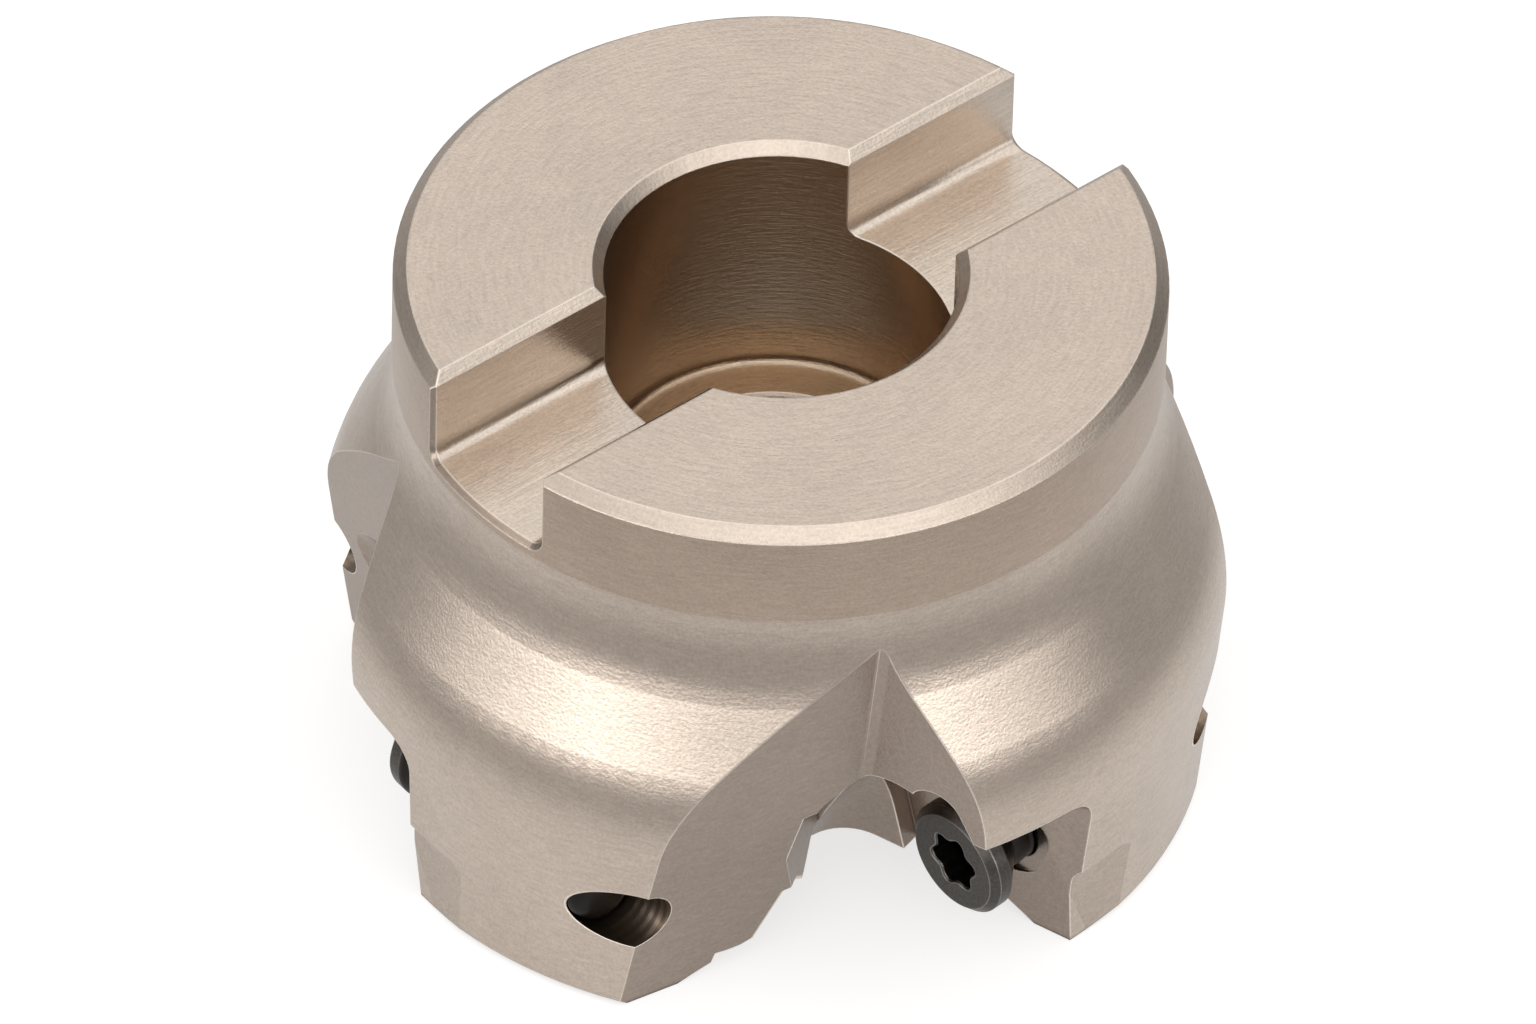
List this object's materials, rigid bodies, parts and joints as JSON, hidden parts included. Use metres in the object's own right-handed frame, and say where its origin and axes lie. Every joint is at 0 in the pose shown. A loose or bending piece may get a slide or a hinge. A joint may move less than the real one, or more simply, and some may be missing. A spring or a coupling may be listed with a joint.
{
  "type": "indexable shell mill",
  "caption": "Shell mill cutter body with a flanged spindle end, keyed drive slot, through bore, open gullets and backed-out insert screws.",
  "frame": {"origin": "on the spindle axis, level with the tooth tips", "axes": "+Z along the spindle axis towards the spindle, +X along the drive slot"},
  "size_m": [0.0568, 0.0569, 0.0387],
  "materials": {
    "nickel_steel": "satin nickel plated, turned on the spindle face",
    "black_oxide": "black oxide, satin"
  },
  "bodies": {
    "root": {"cutter_body": "nickel_steel", "insert_screw_1": "black_oxide", "insert_screw_2": "black_oxide", "insert_screw_3": "black_oxide", "insert_screw_4": "black_oxide"}
  },
  "joints": []
}
